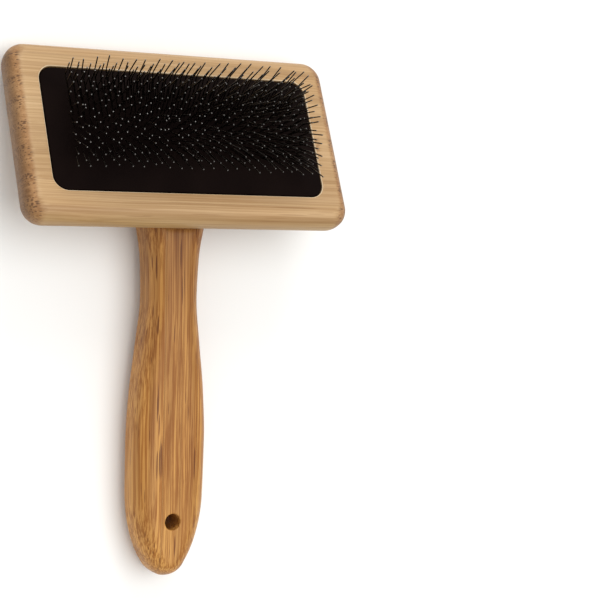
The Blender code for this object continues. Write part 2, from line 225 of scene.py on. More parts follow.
HEAD = head_place()
FRONT = HEAD @ Matrix.Translation((0, 0, HEAD_THICKNESS * MM))
HANDLE = HEAD @ Matrix.Translation((0, FOOT_TIP_Y * MM, 0)) @ Matrix.Rotation(HANDLE_ANGLE, 4, "X")


# ---- mesh helpers --------------------------------------------------------------------


def add_object(name, bm, place, materials, sharp_angle=WOOD_SHARP_ANGLE):
    """Turn a bmesh in millimetres in a local frame into an object in metres in the shared frame."""
    bmesh.ops.scale(bm, vec=(MM, MM, MM), verts=bm.verts)
    bmesh.ops.transform(bm, matrix=place, verts=bm.verts)
    bmesh.ops.recalc_face_normals(bm, faces=bm.faces)
    mesh = bpy.data.meshes.new(name)
    bm.to_mesh(mesh)
    bm.free()
    obj = bpy.data.objects.new(name, mesh)
    bpy.context.scene.collection.objects.link(obj)
    for material in materials:
        mesh.materials.append(material)
    shade(mesh, sharp_angle)
    return obj


def shade(mesh, sharp_angle):
    mesh.shade_smooth()
    mesh.set_sharp_from_angle(angle=math.radians(sharp_angle))


def carve(obj, cutters):
    """Subtract the cutters for good and remove them."""
    for cutter in cutters:
        modifier = obj.modifiers.new("carve", "BOOLEAN")
        modifier.operation = "DIFFERENCE"
        modifier.solver = "EXACT"
        modifier.object = cutter
    bpy.context.view_layer.update()
    finished = obj.evaluated_get(bpy.context.evaluated_depsgraph_get())
    mesh = bpy.data.meshes.new_from_object(finished)
    obj.modifiers.clear()
    obj.data = mesh
    shade(mesh, WOOD_SHARP_ANGLE)
    for cutter in cutters:
        bpy.data.objects.remove(cutter)


def rounded_outline(width, depth, radius, arc_steps, long_steps=1, short_steps=1):
    """Points of a rounded rectangle, anticlockwise, with extra points on its sides."""
    corners = ((1, 1, 0.0), (-1, 1, 90.0), (-1, -1, 180.0), (1, -1, 270.0))
    arcs = []
    for side_x, side_y, start in corners:
        centre = Vector((side_x * (width / 2 - radius), side_y * (depth / 2 - radius)))
        arc = []
        for step in range(arc_steps + 1):
            angle = math.radians(start + 90.0 * step / arc_steps)
            arc.append(centre + radius * Vector((math.cos(angle), math.sin(angle))))
        arcs.append(arc)
    points = []
    for index, arc in enumerate(arcs):
        points += arc
        steps = long_steps if index % 2 == 0 else short_steps
        following = arcs[(index + 1) % 4][0]
        for step in range(1, steps):
            points.append(arc[-1].lerp(following, step / steps))
    return points


def skin(bm, rings, close_first=True, close_last=True):
    """Faces between rings of equal count; either end can be closed with one face."""
    layers = [[bm.verts.new(point) for point in ring] for ring in rings]
    count = len(layers[0])
    for lower, upper in zip(layers, layers[1:]):
        for index in range(count):
            after = (index + 1) % count
            bm.faces.new((lower[index], lower[after], upper[after], upper[index]))
    if close_first:
        bm.faces.new(reversed(layers[0]))
    if close_last:
        bm.faces.new(layers[-1])
    return layers


def cap_across(bm, layer, start):
    """Close a ring with strips between its two mirrored halves."""
    count = len(layer)
    for step in range(count // 2):
        face = [layer[(start + step) % count], layer[(start + step + 1) % count]]
        for vertex in (layer[start - step - 1], layer[start - step]):
            if vertex not in face:
                face.append(vertex)
        bm.faces.new(face)


def circle(radius, height, steps, centre=(0.0, 0.0)):
    ring = []
    for step in range(steps):
        angle = 2 * math.pi * step / steps
        ring.append((centre[0] + radius * math.cos(angle), centre[1] + radius * math.sin(angle), height))
    return ring


def interpolate(table, at):
    """Smooth curve through a short table of (position, value), flat at the table's ends."""
    last = len(table) - 1
    index = 0
    while index < last - 1 and at > table[index + 1][0]:
        index += 1
    (x0, y0), (x1, y1) = table[index], table[index + 1]

    def slope(knot):
        if knot in (0, last):
            return 0.0
        before = (table[knot][1] - table[knot - 1][1]) / (table[knot][0] - table[knot - 1][0])
        after = (table[knot + 1][1] - table[knot][1]) / (table[knot + 1][0] - table[knot][0])
        if before * after <= 0:
            return 0.0
        return 2 * before * after / (before + after)

    span = x1 - x0
    t = min(max((at - x0) / span, 0.0), 1.0)
    value = y0 * (1 + 2 * t) * (1 - t) ** 2 + y1 * t * t * (3 - 2 * t)
    return value + span * t * (1 - t) * ((1 - t) * slope(index) - t * slope(index + 1))


# ---- node helpers --------------------------------------------------------------------


def srgb(red, green, blue):
    """Linear colour of an 8-bit screen colour."""
    def linear(value):
        value /= 255
        return value / 12.92 if value <= 0.04045 else ((value + 0.055) / 1.055) ** 2.4
    return (linear(red), linear(green), linear(blue), 1.0)


class Graph:
    """A material whose nodes are added one short call at a time. Its lengths are in millimetres."""

    def __init__(self, name, place):
        self.material = bpy.data.materials.new(name)
        self.material.use_nodes = True
        self.tree = self.material.node_tree
        self.shader = self.tree.nodes["Principled BSDF"]
        self.coordinates = self.tree.nodes.new("ShaderNodeTexCoord")
        self.own_frame = self.tree.nodes.new("ShaderNodeMapping")
        self.own_frame.vector_type = "TEXTURE"
        self.put(self.own_frame.inputs["Vector"], self.coordinates.outputs["Object"])
        self.put(self.own_frame.inputs["Location"], place.to_translation())
        self.put(self.own_frame.inputs["Rotation"], place.to_euler())

    def put(self, socket, value):
        if isinstance(value, bpy.types.NodeSocket):
            self.tree.links.new(value, socket)
        else:
            socket.default_value = value

    def set(self, **values):
        """Set the shader's sockets; the names use _ for a space."""
        for name, value in values.items():
            self.put(self.shader.inputs[name.replace("_", " ")], value)

    def math(self, operation, first, second=0.0):
        node = self.tree.nodes.new("ShaderNodeMath")
        node.operation = operation
        self.put(node.inputs[0], first)
        self.put(node.inputs[1], second)
        return node.outputs[0]

    def plus(self, first, second):
        return self.math("ADD", first, second)

    def minus(self, first, second):
        return self.math("SUBTRACT", first, second)

    def times(self, first, second):
        return self.math("MULTIPLY", first, second)

    def fit(self, value, low, high, to_low=0.0, to_high=1.0, smooth=True):
        """Map low..high to to_low..to_high, with soft ends unless smooth is off."""
        node = self.tree.nodes.new("ShaderNodeMapRange")
        node.interpolation_type = "SMOOTHSTEP" if smooth else "LINEAR"
        self.put(node.inputs["Value"], value)
        self.put(node.inputs["From Min"], low)
        self.put(node.inputs["From Max"], high)
        self.put(node.inputs["To Min"], to_low)
        self.put(node.inputs["To Max"], to_high)
        return node.outputs["Result"]

    def mix(self, share, first, second, blend="MIX"):
        node = self.tree.nodes.new("ShaderNodeMix")
        node.data_type = "RGBA"
        node.blend_type = blend
        colour_sockets = [s for s in node.inputs if s.type == "RGBA"]
        self.put(node.inputs[0], share)
        self.put(colour_sockets[0], first)
        self.put(colour_sockets[1], second)
        return [s for s in node.outputs if s.type == "RGBA"][0]

    def tone(self, colour, tint):
        """The colour seen through a tint."""
        return self.mix(1.0, colour, tint, "MULTIPLY")

    def ramp(self, value, stops):
        """Colour ramp; a stop is (position, colour)."""
        node = self.tree.nodes.new("ShaderNodeValToRGB")
        elements = node.color_ramp.elements
        while len(elements) > 1:
            elements.remove(elements[-1])
        elements[0].position = stops[0][0]
        elements[0].color = stops[0][1]
        for position, colour in stops[1:]:
            elements.new(position).color = colour
        self.put(node.inputs[0], value)
        return node.outputs["Color"]

    def split(self, vector):
        node = self.tree.nodes.new("ShaderNodeSeparateXYZ")
        self.put(node.inputs[0], vector)
        return node.outputs[0], node.outputs[1], node.outputs[2]

    def join(self, x, y, z):
        node = self.tree.nodes.new("ShaderNodeCombineXYZ")
        for socket, value in zip(node.inputs, (x, y, z)):
            self.put(socket, value)
        return node.outputs[0]

    def scaled(self, vector, scale):
        node = self.tree.nodes.new("ShaderNodeVectorMath")
        node.operation = "MULTIPLY"
        self.put(node.inputs[0], vector)
        self.put(node.inputs[1], scale)
        return node.outputs[0]

    def noise(self, vector, scale=1.0, detail=2.0, roughness=0.5):
        node = self.tree.nodes.new("ShaderNodeTexNoise")
        self.put(node.inputs["Vector"], vector)
        self.put(node.inputs["Scale"], scale)
        self.put(node.inputs["Detail"], detail)
        self.put(node.inputs["Roughness"], roughness)
        return node.outputs[0]

    def cells(self, vector, scale=1.0):
        """Distance to the nearest cell point, and the cell's random colour."""
        node = self.tree.nodes.new("ShaderNodeTexVoronoi")
        self.put(node.inputs["Vector"], vector)
        self.put(node.inputs["Scale"], scale)
        return node.outputs["Distance"], node.outputs["Color"]

    def bump(self, height, strength, depth):
        node = self.tree.nodes.new("ShaderNodeBump")
        self.put(node.inputs["Height"], height)
        self.put(node.inputs["Strength"], strength)
        self.put(node.inputs["Distance"], depth * MM)
        return node.outputs[0]

    def millimetres(self):
        """The piece's own coordinates in millimetres."""
        return self.scaled(self.own_frame.outputs[0], (1 / MM, 1 / MM, 1 / MM))

    def normal(self):
        """The surface's x, y and z directions in the shared frame."""
        return self.split(self.coordinates.outputs["Normal"])


# ---- bamboo --------------------------------------------------------------------------


def strip_stops(edges, seed):
    """Ramp stops for glued strips: red runs 0 to 1 inside each strip, green and blue are random per strip."""
    dice = random.Random(seed)
    low, high = edges[0], edges[-1]
    stops = []
    for start, end in zip(edges, edges[1:]):
        tint = dice.random()
        chance = dice.random()
        stops.append(((start - low) / (high - low) + STRIP_HAIR, (0.0, tint, chance, 1.0)))
        stops.append(((end - low) / (high - low) - STRIP_HAIR, (1.0, tint, chance, 1.0)))
    return stops


class Strips:
    """Strips glued side by side: the grain's coordinates, and what is random in each strip."""

    def __init__(self, g, along, across, edges, seed, slant):
        self.g = g
        point = g.split(g.millimetres())
        axis_along = "xyz".index(along)
        axis_across = "xyz".index(across)
        self.run = point[axis_along]
        self.deep = point[3 - axis_along - axis_across]
        wide = point[axis_across]

        slow = g.join(g.times(self.run, 0.022), g.times(wide, 0.03), seed * 1.7)
        waver = g.fit(g.noise(slow, detail=1.0), 0.0, 1.0, -SEAM_WAVER, SEAM_WAVER, smooth=False)
        self.placed = g.plus(wide, g.plus(g.times(self.run, slant), waver))

        strips = g.ramp(g.fit(self.placed, edges[0], edges[-1], smooth=False), strip_stops(edges, seed))
        self.inside, self.tint, self.chance = g.split(strips)
        edge_distance = g.math("MINIMUM", self.inside, g.minus(1.0, self.inside))
        self.seam = g.fit(edge_distance, 0.0, SEAM_SHARE, 1.0, 0.0)
        self.offset = g.times(self.tint, STRIP_JUMP)

    def grain(self, run_scale, cross_scale, extra=0.0):
        """Coordinates of a pattern that follows the fibres and starts anew in each strip."""
        g = self.g
        return g.join(g.plus(g.times(self.run, run_scale), g.plus(self.offset, extra)),
                      g.times(self.placed, cross_scale), g.times(self.deep, cross_scale))

    def spots(self, vector, crowd, power, sizes, variety, core):
        """Cut fibre bundles. They grow toward one side of each strip, and the core is fully dark."""
        g = self.g
        distance, colour = g.cells(vector)
        chance, _, _ = g.split(colour)
        crowding = g.times(g.math("POWER", self.inside, power), crowd)
        size = g.times(g.fit(crowding, 0.0, 1.0, *sizes, smooth=False),
                       g.fit(chance, 0.0, 1.0, *variety, smooth=False))
        return g.fit(distance, g.times(size, core), size, 1.0, 0.0)


def bamboo_body(g, strips, streaks, colours, streak):
    """Fine streaks, broad darker bands, a tint for each strip and faint clouds."""
    light, middle, deep = colours
    bands = g.noise(strips.grain(0.008, 0.27, 5.0))
    clouds = g.noise(strips.grain(0.035, 0.06, 11.0), detail=1.0)
    body = g.mix(g.fit(streaks, 0.39, 0.61), light, middle)
    body = g.mix(g.times(g.fit(bands, 0.36, 0.72), streak), body, deep)
    body = g.tone(body, g.ramp(strips.tint, STRIP_TINTS))
    return g.tone(body, g.ramp(clouds, CLOUD_TINTS))


def with_seams(g, strips, colour, deep):
    """Dark glue lines, stronger between some strips than between others."""
    strength = g.times(strips.seam, g.fit(strips.chance, 0.0, 1.0, 0.35, 0.85, smooth=False))
    return g.mix(strength, colour, g.mix(0.45, deep, GLUE_COLOUR))


def with_node_marks(g, strips, colour, light, deep, seed):
    """Where the culm had a node: one thin wavy dark line with a pale edge in some strips."""
    centre = g.fit(strips.chance, 0.0, 1.0, -NODE_REACH, NODE_REACH, smooth=False)
    wobble = g.fit(g.noise(g.join(0.0, g.times(strips.placed, 0.6), seed)), 0.0, 1.0, -3.0, 3.0)
    off = g.minus(g.plus(strips.run, wobble), centre)
    line = g.fit(g.math("ABSOLUTE", off), 0.25, 1.1, 1.0, 0.0)
    halo = g.fit(g.math("ABSOLUTE", g.minus(off, 2.2)), 0.3, 2.4, 1.0, 0.0)
    patches = g.noise(g.join(0.0, g.times(strips.placed, 1.5), g.times(strips.deep, 1.5)))
    line = g.times(line, g.fit(patches, 0.35, 0.6, 0.35, 1.0))
    colour = g.mix(g.times(line, 0.55), colour, deep)
    return g.mix(g.times(halo, 0.22), colour, light)


def with_end_grain(g, strips, colour):
    """Darker, porous ends with a dot for each cut fibre bundle."""
    facing, _, _ = g.normal()
    facing = g.math("ABSOLUTE", facing)
    pores = g.noise(g.scaled(g.millimetres(), (0.8, 2.6, 2.6)), detail=3.0, roughness=0.6)
    shade_of_end = g.mix(g.fit(pores, 0.35, 0.7), (0.80, 0.68, 0.59, 1), (0.66, 0.54, 0.45, 1))
    shade_of_end = g.mix(g.fit(facing, 0.45, 0.95), shade_of_end, (0.42, 0.34, 0.27, 1))
    end = g.tone(colour, shade_of_end)
    cut = g.join(g.times(strips.run, 0.05), g.times(strips.placed, 1.55), g.times(strips.deep, 1.55))
    dots = strips.spots(cut, crowd=1.0, power=1.3, sizes=(0.20, 0.62), variety=(0.65, 1.15), core=0.65)
    end = g.mix(g.times(dots, 0.85), end, (0.10, 0.045, 0.02, 1))
    end = g.mix(g.times(strips.seam, 0.5), end, (0.10, 0.05, 0.025, 1))
    return g.mix(g.fit(facing, 0.06, 0.42), colour, end)


def bamboo(name, place, along, across, edges, colours, seed, crowd, slant, fibre_length, dark, streak,
           fineness, node_marks=False, end_grain=False, neck_shade=None, painted_side_shade=None):
    """Laminated bamboo. The fibres run along one axis and the strips are glued side by side across another.

    Fibre bundles are long cells: they show as fine lines where the surface follows the grain, as
    short dashes where it cuts it at a slant and as dots on end grain. They crowd to one side of each strip.
    """
    g = Graph(name, place)
    strips = Strips(g, along, across, edges, seed, slant)
    light, _, deep = colours
    streaks = g.noise(strips.grain(0.014, fineness), detail=4.0, roughness=0.7)
    bundles = strips.spots(strips.grain(1.0 / fibre_length, 1.25, 3.0), crowd, power=1.6, sizes=(0.10, 0.34),
                           variety=(0.4, 1.3), core=0.7)

    colour = bamboo_body(g, strips, streaks, colours, streak)
    colour = g.mix(g.times(bundles, dark), colour, deep)
    colour = with_seams(g, strips, colour, deep)
    # painted shade: the side of the head that faces the handle is tinted darker
    if painted_side_shade:
        _, away_from_handle, _ = g.normal()
        shaded_side = g.fit(g.times(away_from_handle, -1.0), 0.1, 0.9)
        colour = g.mix(shaded_side, colour, g.tone(colour, painted_side_shade))
    # painted shade: the handle darkens toward the head, where the head's shadow falls on the neck
    if neck_shade:
        start, end, tints = neck_shade
        colour = g.tone(colour, g.ramp(g.fit(strips.run, start, end, smooth=False), tints))
    if node_marks:
        colour = with_node_marks(g, strips, colour, light, deep, seed)
    if end_grain:
        colour = with_end_grain(g, strips, colour)

    height = g.minus(g.times(streaks, 0.5), g.times(strips.seam, 0.8))
    height = g.minus(height, g.times(bundles, 0.35))
    pores = g.noise(g.millimetres(), 3.0)
    roughness = g.fit(g.plus(g.times(streaks, 0.7), g.times(pores, 0.3)), 0.3, 0.7, 0.38, 0.54)
    g.set(Base_Color=colour, Roughness=roughness, Normal=g.bump(height, 0.35, 0.12))
    g.set(Specular_IOR_Level=0.28, Coat_Weight=0.06, Coat_Roughness=0.3)
    return g.material


# ---- other materials -----------------------------------------------------------------


def rubber_material():
    g = Graph("pad_rubber_black", FRONT)
    where = g.millimetres()
    fine = g.noise(where, 2.2, 3.0, 0.6)
    clouds = g.noise(where, 0.05)
    grain, _ = g.cells(where, 3.4)
    dark = g.mix(g.fit(clouds, 0.3, 0.7), (0.0040, 0.0018, 0.0016, 1), (0.0068, 0.0034, 0.0028, 1))
    colour = g.mix(g.times(g.fit(fine, 0.4, 0.75), 0.35), dark, (0.010, 0.006, 0.005, 1))
    height = g.plus(g.times(grain, 0.5), g.times(fine, 0.5))
    g.set(Base_Color=colour, Roughness=g.fit(fine, 0.2, 0.8, 0.72, 0.92), Normal=g.bump(height, 0.3, 0.08))
    g.set(Specular_IOR_Level=0.04)
    return g.material


def wire_material(name, low, high, roughness_low, roughness_high):
    """Drawn steel between two colours, in fine lines and soft patches."""
    g = Graph(name, FRONT)
    where = g.millimetres()
    drawn = g.noise(g.scaled(where, (5.0, 5.0, 0.6)))
    patches = g.noise(where, 0.35)
    colour = g.mix(g.fit(g.plus(g.times(drawn, 0.5), g.times(patches, 0.5)), 0.35, 0.65), low, high)
    g.set(Base_Color=colour, Roughness=g.fit(drawn, 0.3, 0.7, roughness_low, roughness_high),
          Normal=g.bump(drawn, 0.15, 0.02))
    g.set(Metallic=1.0)
    return g.material


def screw_material():
    g = Graph("zinc_screw", HEAD)
    where = g.millimetres()
    turned = g.noise(g.scaled(where, (0.6, 0.6, 9.0)))
    clouds = g.noise(where, 0.5)
    colour = g.mix(g.fit(clouds, 0.35, 0.65), (0.46, 0.47, 0.47, 1), (0.55, 0.52, 0.42, 1))
    g.set(Base_Color=colour, Roughness=g.fit(turned, 0.3, 0.7, 0.26, 0.42), Normal=g.bump(turned, 0.2, 0.03))
    g.set(Metallic=1.0)
    return g.material


def foam_material():
    g = Graph("grey_foam", FRONT)
    pores, cell_colour = g.cells(g.millimetres(), 1.6)
    cell_chance, _, _ = g.split(cell_colour)
    colour = g.mix(g.fit(pores, 0.1, 0.5), (0.035, 0.034, 0.031, 1), (0.12, 0.115, 0.105, 1))
    colour = g.mix(g.times(cell_chance, 0.3), colour, (0.07, 0.067, 0.06, 1))
    g.set(Base_Color=colour, Roughness=g.fit(pores, 0.0, 0.6, 0.98, 0.86), Normal=g.bump(pores, 0.7, 0.3))
    g.set(Specular_IOR_Level=0.2)
    return g.material


def cloth_material():
    """Plain weave: warp and weft threads pass over each other in turn."""
    g = Graph("pin_cloth_weave", FRONT)
    x, y, _ = g.split(g.millimetres())
    warp = g.math("ABSOLUTE", g.math("SINE", g.times(x, math.pi * THREADS_PER_MM)))
    weft = g.math("ABSOLUTE", g.math("SINE", g.times(y, math.pi * THREADS_PER_MM)))
    column = g.math("FLOOR", g.times(x, THREADS_PER_MM))
    line = g.math("FLOOR", g.times(y, THREADS_PER_MM))
    turn = g.math("ABSOLUTE", g.math("MODULO", g.plus(column, line), 2.0))
    height = g.plus(g.times(warp, turn), g.times(weft, g.minus(1.0, turn)))
    fuzz = g.noise(g.millimetres(), 4.0, 3.0)
    colour = g.mix(height, (0.012, 0.009, 0.008, 1), (0.060, 0.048, 0.042, 1))
    colour = g.mix(g.times(fuzz, 0.3), colour, (0.09, 0.075, 0.065, 1))
    g.set(Base_Color=colour, Roughness=g.fit(fuzz, 0.2, 0.8, 0.82, 0.98), Normal=g.bump(height, 0.6, 0.3))
    g.set(Specular_IOR_Level=0.2, Sheen_Weight=0.15)
    return g.material


def floor_material():
    g = Graph("pale_floor", Matrix())
    soft = g.noise(g.coordinates.outputs["Object"], 6.0)
    colour = g.mix(g.fit(soft, 0.3, 0.7), (0.94, 0.94, 0.93, 1), (0.955, 0.955, 0.945, 1))
    g.set(Base_Color=colour, Roughness=g.fit(soft, 0.3, 0.7, 0.88, 0.96))
    g.set(Specular_IOR_Level=0.1)
    return g.material


# ---- head ----------------------------------------------------------------------------


def edge_round(radius, steps):
    """(depth, inset) pairs round a quarter circle, from the flat face to the side."""
    pairs = []
    for step in range(steps + 1):
        angle = math.radians(90.0 * step / steps)
        pairs.append((radius * (1 - math.cos(angle)), radius * (1 - math.sin(angle))))
    return pairs


def make_head(material, rim_highlight_material):
    corner_steps = 12
    long_steps = 24
    short_steps = 12

    def outer(inset, height):
        radius = max(HEAD_CORNER_RADIUS - CORNER_SHRINK * inset, SMALLEST_HEAD_CORNER)
        outline = rounded_outline(HEAD_WIDTH - 2 * inset, HEAD_DEPTH - 2 * inset, radius, corner_steps,
                                  long_steps, short_steps)
        return [(p.x, p.y, height) for p in outline]

    def inner(flare, height):
        outline = rounded_outline(RECESS_WIDTH + 2 * flare, RECESS_DEPTH_Y + 2 * flare,
                                  RECESS_CORNER_RADIUS + flare, corner_steps, long_steps, short_steps)
        return [(p.x, p.y, height) for p in outline]

    # from the back, round the outside, over the rim and down to the recess's floor
    rings = [outer(BACK_EDGE_RADIUS + BACK_BORDER, 0.0)]
    for depth, inset in edge_round(BACK_EDGE_RADIUS, 16):
        rings.append(outer(inset, depth))
    for depth, inset in reversed(edge_round(FRONT_EDGE_RADIUS, 12)):
        rings.append(outer(inset, HEAD_THICKNESS - depth))
    rings.append(outer(FRONT_EDGE_RADIUS + FRONT_BORDER, HEAD_THICKNESS))
    rings.append(inner(RIM_EDGE_BREAK + RIM_BORDER, HEAD_THICKNESS))
    for depth, inset in edge_round(RIM_EDGE_BREAK, 5):
        rings.append(inner(inset, HEAD_THICKNESS - depth))
    floor = HEAD_THICKNESS - RECESS_CUT
    for depth, inset in reversed(edge_round(FLOOR_FILLET, 4)):
        rings.append(inner(-inset, floor + depth))
    rings.append(inner(-FLOOR_FILLET - FLOOR_BORDER, floor))
    bm = bmesh.new()
    skin(bm, rings)
    # faces of the rim's edge break take the lighter bamboo, a painted highlight
    for face in bm.faces:
        centre = face.calc_center_median()
        over_recess = (abs(centre.x) < RECESS_WIDTH / 2 + RIM_EDGE_BREAK
                       and abs(centre.y) < RECESS_DEPTH_Y / 2 + RIM_EDGE_BREAK)
        if over_recess and HEAD_THICKNESS - RIM_EDGE_BREAK < centre.z < HEAD_THICKNESS - 0.01:
            face.material_index = RIM_HIGHLIGHT
    head = add_object("head_board", bm, HEAD, [material, rim_highlight_material])
    carve(head, [screw_hole(name) for name in SCREWS])
    return head


# ---- handle --------------------------------------------------------------------------


def handle_width(along):
    """Width at a distance from the foot's tip, with the end rounded like a superellipse."""
    width = interpolate(HANDLE_WIDTHS, along)
    end_start = HANDLE_LENGTH - ROUND_END
    if along > end_start:
        reach = (along - end_start) / ROUND_END
        width *= max(1 - reach ** END_FULLNESS, 0.0) ** (1 / END_FULLNESS)
    return width


def handle_ring(along):
    """The handle's section at a distance from the foot's tip."""
    width = handle_width(along)
    taper = max(along - TAPER_START, 0.0) / (HANDLE_LENGTH - TAPER_START)
    full = FOOT_THICKNESS + (END_THICKNESS - FOOT_THICKNESS) * taper
    past_end = max(along - (HANDLE_LENGTH - END_EDGE_ROUND), 0.0) / END_EDGE_ROUND
    thickness = full * math.sqrt(max(1 - past_end ** 2, 0.0))
    radius = min(HANDLE_EDGE_RADIUS, LARGEST_ROUND_SHARE * width, LARGEST_ROUND_SHARE * thickness)
    outline = rounded_outline(width, thickness, radius, arc_steps=10, long_steps=6, short_steps=4)
    return [(p.x, -along, full / 2 + p.y) for p in outline]


def make_handle(material):
    straight = HANDLE_LENGTH - ROUND_END
    stations = [straight * step / STRAIGHT_STATIONS for step in range(STRAIGHT_STATIONS)]
    for step in range(END_STATIONS + 1):
        stations.append(straight + ROUND_END * math.sin(math.radians(END_SWEEP * step / END_STATIONS)))
    bm = bmesh.new()
    skin(bm, [handle_ring(along) for along in stations])

    # the foot is cut off along the head's back, less the glue line
    to_handle = (Matrix.Translation((0, FOOT_TIP_Y, 0)) @ Matrix.Rotation(HANDLE_ANGLE, 4, "X")).inverted()
    plane_point = to_handle @ Vector((0, 0, -GLUE_LINE))
    plane_normal = to_handle.to_3x3() @ Vector((0, 0, 1))
    everything = bm.verts[:] + bm.edges[:] + bm.faces[:]
    made = bmesh.ops.bisect_plane(bm, geom=everything, plane_co=plane_point, plane_no=plane_normal,
                                  clear_outer=True)
    rim = [item for item in made["geom_cut"] if isinstance(item, bmesh.types.BMEdge)]
    bmesh.ops.contextual_create(bm, geom=rim)
    handle = add_object("handle_grip", bm, HANDLE, [material])
    carve(handle, [hanging_hole(material)] + [screw_hole(name) for name in SCREWS])
    return handle


def hanging_hole(material):
    """Cutter for the hole near the handle's end, with a small round at both mouths."""
    top = max(point[2] for point in handle_ring(HANGING_HOLE_AT))
    mouth = edge_round(HOLE_EDGE_BREAK, 5)
    profile = [(-CUTTER_OVERRUN, HANGING_HOLE_RADIUS + HOLE_EDGE_BREAK)]
    for depth, inset in mouth:
        profile.append((depth, HANGING_HOLE_RADIUS + inset))
    for depth, inset in reversed(mouth):
        profile.append((top - depth, HANGING_HOLE_RADIUS + inset))
    profile.append((top + CUTTER_OVERRUN, HANGING_HOLE_RADIUS + HOLE_EDGE_BREAK))
    bm = bmesh.new()
    skin(bm, [circle(radius, height, 48, (0.0, -HANGING_HOLE_AT)) for height, radius in profile])
    return add_object("cut_hanging_hole", bm, HANDLE, [material])


# ---- screws --------------------------------------------------------------------------


def screw_place(name):
    """A screw's own frame: its head's top is at z = 0 and it points down."""
    return HEAD @ Matrix.Translation((0, SCREWS[name][0] * MM,
                                      (HEAD_THICKNESS - RECESS_CUT - SCREW_SEAT_DEPTH) * MM))


def screw_hole(name):
    """Cutter for the hole that the screw goes through."""
    length = SCREWS[name][1]
    grown = SCREW_CLEARANCE
    profile = ((-length - grown, SCREW_SHANK_RADIUS / 4 + grown),
               (-length + SCREW_POINT_LENGTH, SCREW_SHANK_RADIUS + grown),
               (-SCREW_HEAD_HEIGHT - grown, SCREW_SHANK_RADIUS + grown),
               (-grown, SCREW_HEAD_RADIUS + grown), (grown * 3, SCREW_HEAD_RADIUS + grown))
    bm = bmesh.new()
    skin(bm, [circle(radius, height, 40) for height, radius in profile])
    return add_object("cut_" + name, bm, screw_place(name), [])


def screw_radius(length, height, angle):
    """Radius of the threaded part at a height and an angle round the axis."""
    phase = (height / THREAD_PITCH - angle / (2 * math.pi)) % 1.0
    ridge = max(1 - abs(phase - 0.5) / THREAD_HALF_WIDTH, 0.0)
    point = min((height + length) / SCREW_POINT_LENGTH, 1.0)
    thread = min(max((-SCREW_HEAD_HEIGHT - THREAD_FREE_NECK - height) / THREAD_RUN_OUT, 0.0), 1.0)
    core = SCREW_CORE_RADIUS + (1 - thread) * NECK_SWELL
    return (POINT_SHARE + (1 - POINT_SHARE) * point) * (core + thread * ridge * (SCREW_SHANK_RADIUS - core))


def drive_cutters(name):
    """The cross recess in a screw's head: two tapered slots."""
    cutters = []
    for turn in (0, 90):
        slot = bmesh.new()
        mouth = ((-2.0, 0.35), (2.0, 0.35), (2.0, -0.35), (-2.0, -0.35))
        bottom = ((-0.9, 0.22), (0.9, 0.22), (0.9, -0.22), (-0.9, -0.22))
        skin(slot, [[(x, y, -1.1) for x, y in bottom], [(x, y, 0.4) for x, y in mouth]])
        place = screw_place(name) @ Matrix.Rotation(math.radians(turn), 4, "Z")
        cutters.append(add_object(f"cut_slot_{turn}", slot, place, []))
    return cutters


def make_screw(name, material):
    length = SCREWS[name][1]
    rings = []
    height = -length
    while height < -SCREW_HEAD_HEIGHT - 0.01:
        ring = []
        for step in range(SCREW_SIDES):
            angle = 2 * math.pi * step / SCREW_SIDES
            radius = screw_radius(length, height, angle)
            ring.append((radius * math.cos(angle), radius * math.sin(angle), height))
        rings.append(ring)
        height += THREAD_PITCH / STEPS_PER_THREAD

    # the countersunk head: (height, radius), with a rounded edge
    head_profile = ((-SCREW_HEAD_HEIGHT, SCREW_CORE_RADIUS + 0.3), (-0.28, SCREW_HEAD_RADIUS - 0.1),
                    (-0.16, SCREW_HEAD_RADIUS), (-0.03, SCREW_HEAD_RADIUS - 0.08),
                    (0.0, SCREW_HEAD_RADIUS - 0.3))
    rings += [circle(radius, height, SCREW_SIDES) for height, radius in head_profile]
    bm = bmesh.new()
    skin(bm, rings)
    screw = add_object("steel_" + name, bm, screw_place(name), [material])
    carve(screw, drive_cutters(name))
    return screw


# ---- pad -----------------------------------------------------------------------------


def crown(x, y):
    """Height of the rubber's outer face over the head's front plane."""
    across = min(abs(x) / (RECESS_WIDTH / 2), 1.0)
    along = min(abs(y) / (RECESS_DEPTH_Y / 2), 1.0)
    rise = (1 - across ** CROWN_POWER_X) * (1 - along ** CROWN_POWER_Y)
    return PAD_CROWN * rise - PAD_EDGE_BELOW_RIM


def domed_rings(top_offset, bottom_offset, edge_radius, flat_bottom=None):
    """Rings from the middle of the underside, round the edge, to the middle of the top."""
    width = RECESS_WIDTH - 2 * PAD_SIDE_GAP
    depth = RECESS_DEPTH_Y - 2 * PAD_SIDE_GAP
    radius = RECESS_CORNER_RADIUS - PAD_SIDE_GAP
    half = depth / 2

    def ring(inset, drop, offset, flat=None):
        corner = max(radius - inset, SMALLEST_PAD_CORNER)
        outline = rounded_outline(width - 2 * inset, depth - 2 * inset, corner, PAD_CORNER_STEPS,
                                  PAD_LONG_STEPS, PAD_SHORT_STEPS)
        return [(p.x, p.y, (crown(p.x, p.y) + offset if flat is None else flat) + drop) for p in outline]

    # insets as shares of the half depth; the rings lie closer together near the edge
    shares = [0.03 + 0.945 * (step / 15) ** 1.15 for step in range(16)]
    rings = [ring(share * half, 0.0, bottom_offset, flat_bottom) for share in reversed(shares)]
    for depth_in, inset in edge_round(edge_radius, 4):
        rings.append(ring(inset, depth_in, bottom_offset, flat_bottom))
    for depth_in, inset in reversed(edge_round(edge_radius, 4)):
        rings.append(ring(inset, -depth_in, top_offset))
    rings += [ring(share * half, 0.0, top_offset) for share in shares]
    return rings


def domed_mesh(top_offset, bottom_offset, edge_radius, flat_bottom=None):
    """One layer of the pad; its faces follow the crown, or its underside is flat."""
    bm = bmesh.new()
    layers = skin(bm, domed_rings(top_offset, bottom_offset, edge_radius, flat_bottom), False, False)
    middle = len(layers[0]) - PAD_SHORT_STEPS // 2
    cap_across(bm, layers[0], middle)
    cap_across(bm, layers[-1], middle)
    return bm


